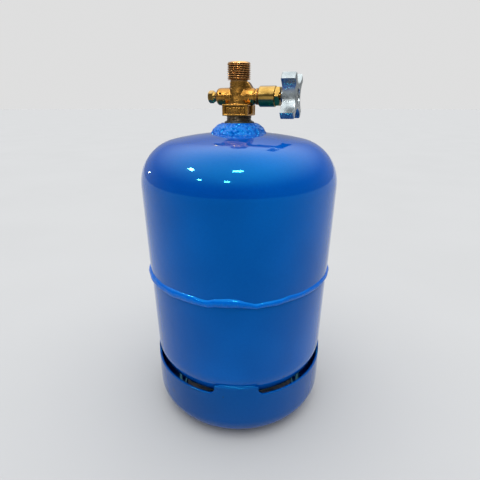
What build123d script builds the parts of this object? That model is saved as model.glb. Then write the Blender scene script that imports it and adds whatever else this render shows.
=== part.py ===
from build123d import *
from math import acos, atan2, cos, degrees, pi, radians, sin, sqrt
import os

# Small refillable gas cylinder with a two-way brass valve.  Millimetres, +Z up, floor at Z = 0.
# The cylinder's axis is Z, the valve's spindle runs along +X, the bleed screw sits toward -X.

# ---- pressure vessel -------------------------------------------------------------------------
R_UP = 102.0          # outer radius of the upper cup
T_CUP = 2.0           # wall of both cups
R_LO = 101.0          # outer radius of the lower cup
R_JOG = 99.95         # outer radius of the lower cup's joggled lip, inside the upper cup
R_KN = 44.0           # knuckle radius of both ends
H_END = 50.0          # height of both ends above their tangent lines
Z_EDGE = 175.8        # lower edge of the upper cup
Z_UT = 271.0          # tangent line of the upper end
Z_LT = 88.0           # tangent line of the lower end
Z_JOG0, Z_JOG1 = 172.5, 175.5   # joggle
Z_LIP = 188.0         # top of the joggled lip
R_HOLE = 18.1         # hole in the upper end for the boss
Z_WELD0, Z_WELD1 = 171.6, 182.0 # toes of the seam weld
R_WELD = 104.4        # crest of the seam weld
STOP_AZ0, STOP_ARC = 6.0, 14.0  # where the seam weld starts and stops, and how far it laps

# ---- foot ring -------------------------------------------------------------------------------
T_FOOT = 2.5
R_FT_TOP = 101.9      # outer radius at the tabs' top edge
R_FT = 103.5          # widest outer radius
Z_FT_TOP = 76.0
R_CURL = 28.0         # outer radius of the inward curl at the bottom
LAND = 4.0            # flat land the cylinder stands on
SLOT_DEEP = 10.0      # depth of the four slots
TAB_AZ = 17.3         # azimuth of the first tab, the rest every 90 degrees
TAB_ARC = 26.8        # width of a tab at its top
SLOT_R = 7.0          # rounding of the slots' lower corners

# ---- neck ------------------------------------------------------------------------------------
R_BOSS = 18.0
R_BOSS_TOP = 16.3
Z_BOSS0, Z_BOSS1 = 309.0, 329.4
R_TOE = 27.2          # outer toe of the neck weld

# ---- valve -----------------------------------------------------------------------------------
Z_BLOCK0, Z_BLOCK1 = 335.7, 346.2
BLOCK = 25.5
R_STEM = 12.4         # taper thread at the block's underside
TAPER = 3.0 / 26.0 / 2.0
Z_STEM = 304.0
Z_V = 352.7           # spindle axis
R_LEFT = 7.8          # boss toward -X
X_LEFT = -22.0
R_RIGHT = 7.3         # neck toward +X
X_NECK = 19.4
R_NECK = 8.7          # outlet neck
R_THR, R_ROOT = 10.9, 9.75      # outlet thread
PITCH = 25.4 / 14.0
Z_THR0, Z_TOP = 367.1, 381.8
R_OUT = 5.0           # outlet bore
X_SEAT = 0.5
R_BON = 9.15          # bonnet barrel
X_BON0, X_BON1 = 20.2, 37.3
X_IN = 1.6            # the gland's pieces sit this much further out than the first step of the bonnet's bore
R_SP = 3.2            # spindle
X_WH0, X_WH1 = 45.2, 58.5
R_WH = 24.6
FLUTE_AZ = 0.0
AF_NUT, X_NUT1 = 16.0, 41.8
AF_BLEED = 10.0
X_BLEED1 = -31.2

OUT = "parts"
os.makedirs(OUT, exist_ok=True)
AX_V = Axis((0, 0, Z_V), (1, 0, 0))


def face_rz(segs, x=False):
    """Face from segments of points: two points make a line, three an arc.  (r, z), or (x, r) about the spindle."""
    edges = []
    for s in segs:
        p = [Vector(a, 0, Z_V + b) if x else Vector(a, 0, b) for a, b in s]
        edges.append(Edge.make_line(*p) if len(p) == 2 else Edge.make_three_point_arc(*p))
    return Face(Wire(edges))


def poly(pts):
    return [(pts[i], pts[(i + 1) % len(pts)]) for i in range(len(pts))]


def turn(segs, arc=360.0):
    return Solid.revolve(face_rz(segs), arc, Axis.Z)


def turn_x(pts):
    return Solid.revolve(face_rz(poly(pts), x=True), 360.0, AX_V)


def spin(shape, azimuth):
    """Azimuth 0 is the -Y side, 90 the +X side."""
    return shape.rotate(Axis.Z, azimuth - 90.0)


def end_arcs(r, zt, h, rk, r0, s):
    """Knuckle and crown arcs of a dished end, from the tangent line to radius r0."""
    rc = ((r - rk) ** 2 + h * h - rk * rk) / (2.0 * (h - rk))
    k, c = (r - rk, 0.0), (0.0, h - rc)
    n = rc - rk
    t = (c[0] + (k[0] - c[0]) / n * rc, c[1] + (k[1] - c[1]) / n * rc)
    th = atan2(t[1] - k[1], t[0] - k[0])
    m = (k[0] + rk * cos(th / 2), k[1] + rk * sin(th / 2))
    a0, a1 = atan2(t[0], t[1] - c[1]), atan2(r0, sqrt(rc * rc - r0 * r0))
    am = (a0 + a1) / 2
    cm = (rc * sin(am), c[1] + rc * cos(am))
    e = (r0, c[1] + sqrt(rc * rc - r0 * r0))
    f = lambda q: (q[0], zt + s * q[1])
    return [(f((r, 0.0)), f(m), f(t)), (f(t), f(cm), f(e))]


def back(arcs):
    return [tuple(reversed(a)) for a in reversed(arcs)]


def cyl_z(r, z0, z1, x=0.0, y=0.0):
    return Solid.make_cylinder(r, z1 - z0, Plane(origin=(x, y, z0), z_dir=(0, 0, 1)))


def cyl_x(r, x0, x1):
    return Solid.make_cylinder(r, x1 - x0, Plane(origin=(x0, 0, Z_V), z_dir=(1, 0, 0)))


def hex_x(af, x0, x1, turned=0.0):
    pl = Plane(origin=(x0, 0, Z_V), x_dir=(0, 1, 0), z_dir=(1, 0, 0))
    return extrude(pl * Rot(0, 0, turned) * RegularPolygon(af / 2, 6, major_radius=False), x1 - x0)


def save(node, shape):
    export_step(shape, os.path.join(OUT, node + ".step"))


# ---- upper cup
outer = end_arcs(R_UP, Z_UT, H_END, R_KN, R_HOLE, 1)
inner = end_arcs(R_UP - T_CUP, Z_UT, H_END - T_CUP, R_KN - T_CUP, R_HOLE, 1)
upper_shell = turn(
    [((R_UP, Z_EDGE), (R_UP, Z_UT))] + outer + [(outer[-1][-1], inner[-1][-1])] + back(inner)
    + [((R_UP - T_CUP, Z_UT), (R_UP - T_CUP, Z_EDGE)), ((R_UP - T_CUP, Z_EDGE), (R_UP, Z_EDGE))]
)
save("upper_shell", upper_shell)

# ---- lower cup, its lip joggled to slide inside the upper one
lo = end_arcs(R_LO, Z_LT, H_END, R_KN, 0.0, -1)
li = end_arcs(R_LO - T_CUP, Z_LT, H_END - T_CUP, R_KN - T_CUP, 0.0, -1)
lower_shell = turn(
    lo + [(lo[-1][-1], li[-1][-1])] + back(li)
    + [((R_LO - T_CUP, Z_LT), (R_LO - T_CUP, Z_JOG0)), ((R_LO - T_CUP, Z_JOG0), (R_JOG - T_CUP, Z_JOG1)),
       ((R_JOG - T_CUP, Z_JOG1), (R_JOG - T_CUP, Z_LIP)), ((R_JOG - T_CUP, Z_LIP), (R_JOG, Z_LIP)),
       ((R_JOG, Z_LIP), (R_JOG, Z_JOG1)), ((R_JOG, Z_JOG1), (R_LO, Z_JOG0)), ((R_LO, Z_JOG0), (R_LO, Z_LT))]
)
save("lower_shell", lower_shell)

# ---- seam weld with the lap where the bead starts and stops
def bead(crest, top):
    return [((R_LO, Z_WELD0), (crest, (Z_WELD0 + top) / 2), (R_UP, top)), ((R_UP, top), (R_UP, Z_EDGE)),
            ((R_UP, Z_EDGE), (R_UP - T_CUP, Z_EDGE)), ((R_UP - T_CUP, Z_EDGE), (R_JOG, Z_JOG1)),
            ((R_JOG, Z_JOG1), (R_LO, Z_JOG0)), ((R_LO, Z_JOG0), (R_LO, Z_WELD0))]


steps = [(2.0, 0.3, 0.8), (2.5, 0.7, 1.6), (STOP_ARC - 9.0, 1.0, 2.2), (2.5, 0.7, 1.6), (2.0, 0.3, 0.8)]
seam_weld = spin(turn(bead(R_WELD, Z_WELD1), 360.0 - STOP_ARC), STOP_AZ0 + STOP_ARC)
at = STOP_AZ0
for arc, rise, wide in steps:
    seam_weld = seam_weld + spin(turn(bead(R_WELD + rise, Z_WELD1 + wide), arc), at)
    at += arc
save("seam_weld", seam_weld)

# ---- foot ring: barrel-shaped band curled inward to a flat land, four slots in its top edge
zb = R_CURL
rb = ((R_FT - R_FT_TOP) ** 2 + (Z_FT_TOP - zb) ** 2) / (2.0 * (R_FT - R_FT_TOP))


def foot_wall(t):
    r, c = R_FT - t, R_CURL - t
    zm = (Z_FT_TOP + zb) / 2
    rr = rb - t
    f = lambda z: R_FT - rb + sqrt(rr * rr - (z - zb) ** 2)
    cc = (R_FT - R_CURL, R_CURL)
    mid = (cc[0] + c * cos(-pi / 4), cc[1] + c * sin(-pi / 4))
    return [((f(Z_FT_TOP), Z_FT_TOP), (f(zm), zm), (r, zb)), ((r, zb), mid, (cc[0], cc[1] - c))]


fo, fi = foot_wall(0.0), foot_wall(T_FOOT)
r_land = R_FT - R_CURL
foot_ring = turn(
    fo + [((r_land, 0), (r_land - LAND, 0)), ((r_land - LAND, 0), (r_land - LAND, T_FOOT)),
          ((r_land - LAND, T_FOOT), (r_land, T_FOOT))] + back(fi) + [(fi[0][0], fo[0][0])]
)
slot_arc = 90.0 - TAB_ARC
for k in range(4):
    az = TAB_AZ + 45.0 + 90.0 * k
    half = (R_FT) * sin(radians(slot_arc / 2))
    pl = Plane(origin=(0, 0, 0), x_dir=(cos(radians(az)), sin(radians(az)), 0),
               z_dir=(-sin(radians(az)), cos(radians(az)), 0))
    # local x across the slot, local y down: the cutter is pushed outward only, so it never meets the far side
    up = 1 if pl.y_dir.Z > 0 else -1
    cut = pl * (Pos(0, up * (Z_FT_TOP - SLOT_DEEP / 2 + 5)) * RectangleRounded(2 * half, SLOT_DEEP + 10, SLOT_R))
    foot_ring = foot_ring - extrude(cut, -130.0)
save("foot_ring", foot_ring)

# ---- fillet welds that hold the four tabs
z0, z1 = Z_FT_TOP, Z_FT_TOP + 2.6
kc = R_LO - R_KN
shell_r = lambda z: kc + sqrt(R_KN ** 2 - (Z_LT - z) ** 2)
fillet_seg = turn([((shell_r(z0), z0), (R_FT_TOP - 0.3, z0)), ((R_FT_TOP - 0.3, z0), (shell_r(z1) + 0.9, (z0 + z1) / 2 + 0.5), (shell_r(z1), z1)),
                   ((shell_r(z1), z1), (shell_r((z0 + z1) / 2), (z0 + z1) / 2), (shell_r(z0), z0))], TAB_ARC - 4.0)
foot_ring_welds = Compound(children=[spin(fillet_seg, TAB_AZ - TAB_ARC / 2 + 2.0 + 90.0 * k) for k in range(4)])
save("foot_ring_welds", foot_ring_welds)

# ---- boss and its weld
r_st = lambda z: R_STEM - (Z_BLOCK0 - z) * TAPER
FIT = 0.02
neck_boss = turn(poly([(r_st(Z_BOSS0) + FIT, Z_BOSS0), (R_BOSS - 1.0, Z_BOSS0), (R_BOSS, Z_BOSS0 + 1.0),
                       (R_BOSS, Z_BOSS1 - 2.2), (R_BOSS_TOP, Z_BOSS1), (r_st(Z_BOSS1) + FIT + 0.8, Z_BOSS1),
                       (r_st(Z_BOSS1 - 1.2) + FIT, Z_BOSS1 - 1.2)]))
save("neck_boss", neck_boss)

rc_up = ((R_UP - R_KN) ** 2 + H_END ** 2 - R_KN ** 2) / (2 * (H_END - R_KN))
dome_z = lambda r: Z_UT + H_END - rc_up + sqrt(rc_up ** 2 - r * r)
neck_weld = turn([((R_TOE, dome_z(R_TOE)), (21.6, 324.9), (R_BOSS, 326.9)), ((R_BOSS, 326.9), (R_BOSS, dome_z(R_BOSS))),
                  ((R_BOSS, dome_z(R_BOSS)), (R_HOLE, dome_z(R_HOLE))),
                  ((R_HOLE, dome_z(R_HOLE)), ((R_TOE + R_HOLE) / 2, dome_z((R_TOE + R_HOLE) / 2)), (R_TOE, dome_z(R_TOE)))])
save("neck_weld", neck_weld)

# ---- valve body: one forging
stem = turn(poly([(0, Z_STEM), (r_st(Z_STEM) - 0.8, Z_STEM), (r_st(Z_STEM + 0.8), Z_STEM + 0.8),
                  (R_STEM, Z_BLOCK0), (R_STEM - 1.0, Z_BLOCK0 + 2.0), (0, Z_BLOCK0 + 2.0)]))
block = Pos(0, 0, (Z_BLOCK0 + Z_BLOCK1) / 2) * Box(BLOCK, BLOCK, Z_BLOCK1 - Z_BLOCK0)
block = chamfer(block.edges().filter_by(Axis.Z), 1.6)
block = chamfer(block.faces().sort_by(Axis.Z)[-1].edges(), 0.9)
zc = (Z_BLOCK0 + Z_BLOCK1) / 2
panel_w, panel_h, panel_d = BLOCK - 6.0, Z_BLOCK1 - Z_BLOCK0 - 3.2, 0.7
for k in range(4):
    p = Pos(0, -BLOCK / 2, zc) * Box(panel_w, 2 * panel_d, panel_h)
    block = block - p.rotate(Axis.Z, 90.0 * k)
hub = turn(poly([(0, Z_BLOCK1 - 1), (10.6, Z_BLOCK1 - 1), (9.6, Z_V + 2), (R_NECK, Z_V + 8), (R_NECK, Z_THR0 - 2.0),
                 (R_NECK - 0.5, Z_THR0 - 1.6), (R_NECK - 0.5, Z_THR0), (0, Z_THR0)]))
left = turn_x([(0, 0), (0, R_LEFT), (X_LEFT + 3.4, R_LEFT), (X_LEFT + 1.2, R_LEFT - 1.0), (X_LEFT, R_LEFT - 3.0), (X_LEFT, 0)])
right = turn_x([(0, 0), (0, R_RIGHT + 1.2), (8.0, R_RIGHT + 0.8), (16.0, R_RIGHT), (17.0, R_RIGHT - 0.9), (17.8, R_RIGHT), (X_NECK, R_RIGHT), (X_NECK, 0)])
gusset = extrude(Plane(origin=(0, 4.2, 0), x_dir=(1, 0, 0), z_dir=(0, -1, 0)) *
                 make_face(Polyline((0, Z_V), (0, 365.6), (10.6, 364.6), (15.6, 358.0), (15.6, Z_V), close=True)), 8.4)
n_thr = int((Z_TOP - Z_THR0 - 1.4) / PITCH)
pts = [(0, Z_THR0), (R_ROOT, Z_THR0)]
for i in range(n_thr):
    z = Z_THR0 + 0.35 + i * PITCH
    pts += [(R_ROOT, z), (R_THR, z + 0.5 * PITCH - 0.22), (R_THR, z + 0.5 * PITCH + 0.22), (R_ROOT, z + PITCH - 0.12)]
pts += [(R_ROOT, Z_TOP - 0.9), (R_ROOT + 0.35, Z_TOP - 0.9), (R_ROOT - 0.35, Z_TOP), (0, Z_TOP)]
thread = turn(poly(pts))
valve_body = stem + block + hub + left + right + gusset + thread
# passages: inlet up the stem, seat, outlet, bonnet chamber, bleed bore, bleed channel, vent
valve_body = valve_body - cyl_z(4.0, Z_STEM - 1, 341.0) - cyl_z(2.0, 340.0, Z_V + 1.6, x=-4.0) - cyl_x(2.0, -4.0, 3.0)
valve_body = valve_body - cyl_x(4.3, X_SEAT, 12.0) - cyl_x(5.3, 9.2, X_NECK + 1)
valve_body = valve_body - cyl_z(1.9, Z_V, 360.0, x=3.05) - cyl_z(R_OUT, 359.0, Z_TOP + 1)
valve_body = valve_body - turn(poly([(R_OUT - 0.1, Z_TOP - 0.8), (R_OUT + 0.9, Z_TOP + 0.1), (R_OUT - 0.1, Z_TOP + 0.1)]))
valve_body = valve_body - cyl_x(3.05, X_LEFT - 1, -9.8)
valve_body = valve_body - cyl_z(0.9, 323.0, Z_V - 0.2, x=-8.0) - cyl_x(0.9, -10.2, -7.6) - cyl_z(1.52, Z_STEM - 1, 324.0, x=-8.0)
vent = Solid.make_cylinder(1.0, 12.0, Plane(origin=(-17.0, 0, Z_V), z_dir=(0, -cos(radians(20)), sin(radians(20)))))
valve_body = valve_body - vent
save("valve_body", valve_body)

# ---- sealant squeezed out round the taper thread
thread_sealant = turn(poly([(r_st(Z_BOSS1 + 0.15) + FIT, Z_BOSS1 + 0.05), (r_st(Z_BOSS1) + 1.5, Z_BOSS1 + 0.05), (r_st(Z_BOSS1) + 1.1, Z_BOSS1 + 1.5),
                            (r_st(Z_BOSS1 + 3) + 0.5, Z_BOSS1 + 3.0), (R_STEM + 0.45, Z_BLOCK0 - 0.5), (R_STEM + FIT, Z_BLOCK0 - 0.1)]))
save("thread_sealant", thread_sealant)

# ---- fixed level tube under the bleed channel
ullage_tube = cyl_z(1.5, 262.0, 323.9, x=-8.0) - cyl_z(0.9, 261.0, 325.0, x=-8.0)
save("ullage_tube", ullage_tube)

# ---- bonnet and its seal
bonnet = turn_x([(10.6, 3.9), (10.6, 4.9), (11.0, 5.28), (X_BON0, 5.28), (X_BON0, R_BON - 1.6), (X_BON0 + 1.6, R_BON), (X_BON1 - 0.6, R_BON),
                 (X_BON1, R_BON - 0.6), (X_BON1, 5.4), (20.0 + X_IN, 5.4), (20.0 + X_IN, 3.9)])
save("bonnet", bonnet)
bonnet_seal = turn_x([(X_NECK, 5.32), (X_NECK, 7.0), (X_BON0, 7.0), (X_BON0, 5.32)])
save("bonnet_seal", bonnet_seal)

# ---- gland: washer, packing, nut
gland_packing = turn_x([(27.4 + X_IN, R_SP + 0.05), (27.4 + X_IN, 5.38), (31.2 + X_IN, 5.38), (31.2 + X_IN, R_SP + 0.05)])
save("gland_packing", gland_packing)
gland_washer = turn_x([(31.2 + X_IN, R_SP + 0.1), (31.2 + X_IN, 5.36), (32.0 + X_IN, 5.36), (32.0 + X_IN, R_SP + 0.1)])
save("gland_washer", gland_washer)
nut = hex_x(AF_NUT, X_BON1, X_NUT1) & turn_x([(X_BON1, 0), (X_BON1, 9.3), (X_NUT1 - 0.9, 9.3), (X_NUT1, 8.1), (X_NUT1, 0)])
gland_nut = (nut + cyl_x(5.38, 32.0 + X_IN, X_BON1 + 1.0)) - cyl_x(R_SP + 0.1, 31.0, X_NUT1 + 1)
save("gland_nut", gland_nut)

# ---- spindle: tongue, collar, seal groove, square end, tapped for the wheel's screw
spindle = turn_x([(15.2, 0), (15.2, 3.4), (20.2 + X_IN, 3.4), (20.2 + X_IN, 5.0), (22.4 + X_IN, 5.0), (22.4 + X_IN, R_SP), (23.6 + X_IN, R_SP), (23.6 + X_IN, 2.3),
                  (25.4 + X_IN, 2.3), (25.4 + X_IN, R_SP),
                  (54.2, R_SP), (54.6, R_SP - 0.4), (54.6, 0)])
tongue = Pos(12.6, 0, Z_V) * Box(6.0, 5.6, 1.5)
flats = Pos(50.6, 0, Z_V) * (Box(10.0, 20, 20) - Box(10.0, 5.2, 5.2))
spindle = (spindle - Pos(0, 0, 0) * flats) + tongue
spindle = spindle - cyl_x(1.25, 45.0, 55.0)
save("spindle", spindle)
ring = Solid.make_torus(3.82, 0.85, Plane(origin=(24.5 + X_IN, 0, Z_V), z_dir=(1, 0, 0)))
spindle_oring = ring & (cyl_x(5.34, 23.6 + X_IN, 25.4 + X_IN) - cyl_x(2.3, 23.0, 29.0))
save("spindle_oring", spindle_oring)

# ---- shut-off plug, slotted at the back for the tongue, and its seat disc
plug = turn_x([(2.6, 0), (2.6, 3.55), (4.4, 3.55), (5.0, 3.0), (10.6, 3.0), (10.6, 3.84), (12.3, 3.84), (12.3, 0)])
plug = plug - Pos(10.2, 0, Z_V) * Box(7.2, 20.0, 1.9) - cyl_x(2.6, 1.0, 3.4)
shutoff_plug = plug
save("shutoff_plug", shutoff_plug)
seat_disc = turn_x([(X_SEAT + 0.05, 0), (X_SEAT + 0.05, 3.1), (X_SEAT + 0.5, 3.5), (2.6, 3.5), (2.6, 2.58), (3.4, 2.58), (3.4, 0)])
save("seat_disc", seat_disc)

# ---- handwheel: four lobes, hollow back, recess in the face for its screw
pl_w = Plane(origin=(X_WH0, 0, Z_V), x_dir=(0, 1, 0), z_dir=(1, 0, 0))


def wheel_outline():
    o = Circle(R_WH)
    for k in range(4):
        a = radians(FLUTE_AZ + 90.0 * k)
        o = o - Pos(-25.5 * cos(a), 25.5 * sin(a)) * Circle(14.8)
    return fillet(o.vertices(), 2.2)


wheel = extrude(pl_w * wheel_outline(), X_WH1 - X_WH0)
wheel = fillet(wheel.faces().sort_by(Axis.X)[-1].edges(), 1.8)
wheel = fillet(wheel.faces().sort_by(Axis.X)[0].edges(), 0.8)
core = Circle(16.0)
for k in range(4):
    core = core - Pos(25.5 * cos(pi / 2 * k), 25.5 * sin(pi / 2 * k)) * Circle(17.2)
hollow = extrude(pl_w * core, 7.5) - cyl_x(6.6, X_WH0 - 1, X_WH0 + 8)
wheel = wheel - hollow
wheel = wheel + (cyl_x(6.0, X_WH0 - 2.4, X_WH0 + 1.0))
wheel = wheel - cyl_x(6.6, 54.8, X_WH1 + 1) - Pos(50.0, 0, Z_V) * Box(16.0, 5.24, 5.24)
wheel = wheel - cyl_x(R_SP + 0.02, X_WH0 - 3, 45.6)
handwheel = wheel
save("handwheel", handwheel)
handwheel_washer = turn_x([(54.8, 1.6), (54.8, 5.0), (55.5, 5.0), (55.5, 1.6)])
save("handwheel_washer", handwheel_washer)
screw = turn_x([(46.2, 0), (46.2, 1.0), (46.6, 1.22), (55.5, 1.22), (55.5, 3.4), (56.6, 3.4), (57.3, 2.4), (57.5, 0)])
handwheel_screw = screw - Pos(57.3, 0, Z_V) * Box(1.6, 0.9, 9.0)
save("handwheel_screw", handwheel_screw)

# ---- bleed screw and the ring under its head
tip = turn_x([(-9.95, 0), (-9.95, 0.5), (-11.6, 3.0), (-23.4, 3.0), (-23.4, 4.0), (-25.2, 4.9), (-25.2, 0)])
head = hex_x(AF_BLEED, X_BLEED1, -24.6, 30.0) & turn_x([(X_BLEED1, 0), (X_BLEED1, 4.9), (X_BLEED1 + 0.8, 5.9), (-26.8, 5.9), (-24.6, 4.6), (-24.6, 0)])
bleed_screw = tip + head
save("bleed_screw", bleed_screw)
bleed_oring = turn_x([(-23.38, 3.06), (-23.38, 3.9), (-23.1, 4.15), (-22.4, 4.15), (X_LEFT - 0.05, 3.9), (X_LEFT - 0.05, 3.06)])
save("bleed_oring", bleed_oring)
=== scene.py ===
import math

import bpy
import bmesh
import numpy as np
from mathutils import Matrix, Vector, noise


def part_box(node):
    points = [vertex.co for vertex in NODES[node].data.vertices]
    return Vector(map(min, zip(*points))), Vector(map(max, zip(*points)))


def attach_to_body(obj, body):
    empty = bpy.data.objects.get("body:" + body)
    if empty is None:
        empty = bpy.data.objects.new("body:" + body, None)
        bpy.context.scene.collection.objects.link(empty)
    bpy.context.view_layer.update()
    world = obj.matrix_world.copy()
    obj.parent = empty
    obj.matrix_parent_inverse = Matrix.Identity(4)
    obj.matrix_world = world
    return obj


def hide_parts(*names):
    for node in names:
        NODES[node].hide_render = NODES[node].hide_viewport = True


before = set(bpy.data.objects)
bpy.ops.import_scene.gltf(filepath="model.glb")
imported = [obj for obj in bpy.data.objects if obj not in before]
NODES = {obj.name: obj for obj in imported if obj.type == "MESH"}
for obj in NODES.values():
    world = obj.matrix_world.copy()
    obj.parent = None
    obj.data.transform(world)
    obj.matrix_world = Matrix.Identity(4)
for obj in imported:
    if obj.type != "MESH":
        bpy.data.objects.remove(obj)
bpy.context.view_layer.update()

PI = math.pi
MM = 0.001


def node_mm(name):
    """Lowest and highest corner of a CAD node, in millimetres."""
    lo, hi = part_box(name)
    return [v / MM for v in lo], [v / MM for v in hi]


# ------------------------------------------------------------------ sizes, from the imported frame
up_lo, up_hi = node_mm("upper_shell")
lo_lo, lo_hi = node_mm("lower_shell")
R_UP = 102.0
R_LO = 101.0
Z_EDGE = up_lo[2]
Z_LIP = lo_hi[2]
Z_V = sum(node_mm("bonnet")[i][2] for i in (0, 1)) / 2
Z_TOP = node_mm("valve_body")[1][2]
Z_STEM = node_mm("valve_body")[0][2]
Z_BOSS0, Z_BOSS1 = node_mm("neck_boss")[0][2], node_mm("neck_boss")[1][2]
Z_UT, Z_LT, R_KN, H_END, T_CUP = 271.0, 88.0, 44.0, 50.0, 2.0
Z_BLOCK0, Z_BLOCK1, BLOCK = 335.7, 346.2, 25.5
Z_THR0 = 367.1
CAM_AZ = 19.0


# ------------------------------------------------------------------ mesh helpers
def finish_mesh(name, verts, faces, scale=MM, sharp=38.0, smooth=True):
    me = bpy.data.meshes.new(name)
    me.from_pydata([tuple(v) for v in verts], [], faces)
    me.validate()
    bm = bmesh.new()
    bm.from_mesh(me)
    bmesh.ops.remove_doubles(bm, verts=bm.verts, dist=1e-5)
    bmesh.ops.recalc_face_normals(bm, faces=bm.faces)
    bm.to_mesh(me)
    bm.free()
    if scale != 1.0:
        me.transform(Matrix.Scale(scale, 4))
    if smooth:
        me.polygons.foreach_set("use_smooth", [True] * len(me.polygons))
        if sharp:
            me.set_sharp_from_angle(angle=math.radians(sharp))
    me.update()
    ob = bpy.data.objects.new(name, me)
    bpy.context.scene.collection.objects.link(ob)
    return ob


def grid_faces(nu, nv, close_v):
    faces = []
    vv = nv if close_v else nv - 1
    for i in range(nu):
        a, b = i * nv, ((i + 1) % nu) * nv
        for j in range(vv):
            k = (j + 1) % nv
            faces.append((a + j, b + j, b + k, a + k))
    return faces


def lathe_points(prof, n, disp=None, thetas=None):
    """Ring grid [n, m, 2] of (r, z) plus the angles."""
    th = np.linspace(0, 2 * PI, n, endpoint=False) if thetas is None else np.asarray(thetas)
    p = np.asarray(prof, float)
    r = np.repeat(p[None, :, 0], len(th), 0)
    z = np.repeat(p[None, :, 1], len(th), 0)
    if disp:
        r, z = disp(th[:, None] + 0 * r, r, z)
    return th, r, z


def lathe(name, prof, n=192, disp=None, axis="z", thetas=None, sharp=38.0, closed=True):
    """Turned solid.  prof is (r, z), or (x, r) about the spindle; a profile that starts and ends on the axis is capped there."""
    pr = [(b, a) for a, b in prof] if axis == "x" else list(prof)
    poles = abs(pr[0][0]) < 1e-9 and abs(pr[-1][0]) < 1e-9
    th, r, z = lathe_points(pr, n, disp, thetas)
    n, m = r.shape
    if axis == "z":
        P = np.stack([r * np.cos(th)[:, None], r * np.sin(th)[:, None], z], -1)
    else:
        P = np.stack([z, r * np.cos(th)[:, None], Z_V + r * np.sin(th)[:, None]], -1)
    return finish_mesh(name, P.reshape(-1, 3), grid_faces(n, m, closed and not poles), sharp=sharp)


def rounded(pts, seg=5, sup=0.05):
    """Closed outline with rounded corners.  pts are (x, y, radius); support points keep flats flat in smooth shading."""
    out = []
    n = len(pts)
    for i in range(n):
        p = Vector(pts[i][:2])
        rad = pts[i][2] if len(pts[i]) > 2 else 0.0
        if rad <= 0:
            out.append(tuple(p))
            continue
        a, b = Vector(pts[i - 1][:2]) - p, Vector(pts[(i + 1) % n][:2]) - p
        la, lb = a.length, b.length
        a, b = a / la, b / lb
        ang = math.acos(max(-1, min(1, a.dot(b))))
        if ang > PI - 0.02:
            out.append(tuple(p))
            continue
        t = rad / math.tan(ang / 2)
        t = min(t, 0.48 * la, 0.48 * lb)
        rad = t * math.tan(ang / 2)
        c = p + (a + b).normalized() * (rad / math.sin(ang / 2))
        s, e = p + a * t, p + b * t
        v0, v1 = s - c, e - c
        turn = math.atan2(v0.x * v1.y - v0.y * v1.x, v0.dot(v1))
        s1 = min(sup, 0.4 * (la - t)); s2 = min(sup, 0.4 * (lb - t))
        out.append(tuple(s + a * s1))
        for k in range(seg + 1):
            q = turn * k / seg
            out.append((c.x + v0.x * math.cos(q) - v0.y * math.sin(q), c.y + v0.x * math.sin(q) + v0.y * math.cos(q)))
        out.append(tuple(e + b * s2))
    return out


def end_arcs(r, zt, h, rk, r0, s, nk=36, nc=40):
    rc = ((r - rk) ** 2 + h * h - rk * rk) / (2.0 * (h - rk))
    kx, cz = r - rk, h - rc
    d = math.hypot(kx, cz)
    tx, tz = kx / d * rc, cz - cz / d * rc
    th = math.atan2(tz, tx - kx)
    pts = [(kx + rk * math.cos(th * i / nk), rk * math.sin(th * i / nk)) for i in range(nk + 1)]
    a0, a1 = math.atan2(tx, tz - cz), math.asin(min(1.0, r0 / rc))
    pts += [(rc * math.sin(a0 + (a1 - a0) * i / nc), cz + rc * math.cos(a0 + (a1 - a0) * i / nc)) for i in range(1, nc + 1)]
    return [(x, zt + s * z) for x, z in pts]


def n3(x, y, z, scale, seed=0.0):
    return noise.noise(Vector((x / scale + seed, y / scale - seed * 0.7, z / scale + seed * 1.3)))


def noise_grid(x, y, z, scale, seed=0.0):
    f = np.vectorize(lambda a, b, c: n3(a, b, c, scale, seed))
    return f(x, y, z)


def az_theta(deg):
    """Azimuth, 0 on the -Y side and 90 on the +X side, to the angle about Z."""
    return math.radians(deg - 90.0)


def attach(ob, body, slot, mat, *nodes):
    ob.data.materials.clear()
    ob.data.materials.append(mat)
    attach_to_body(ob, body)
    if nodes:
        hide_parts(*nodes)
    return ob


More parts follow.
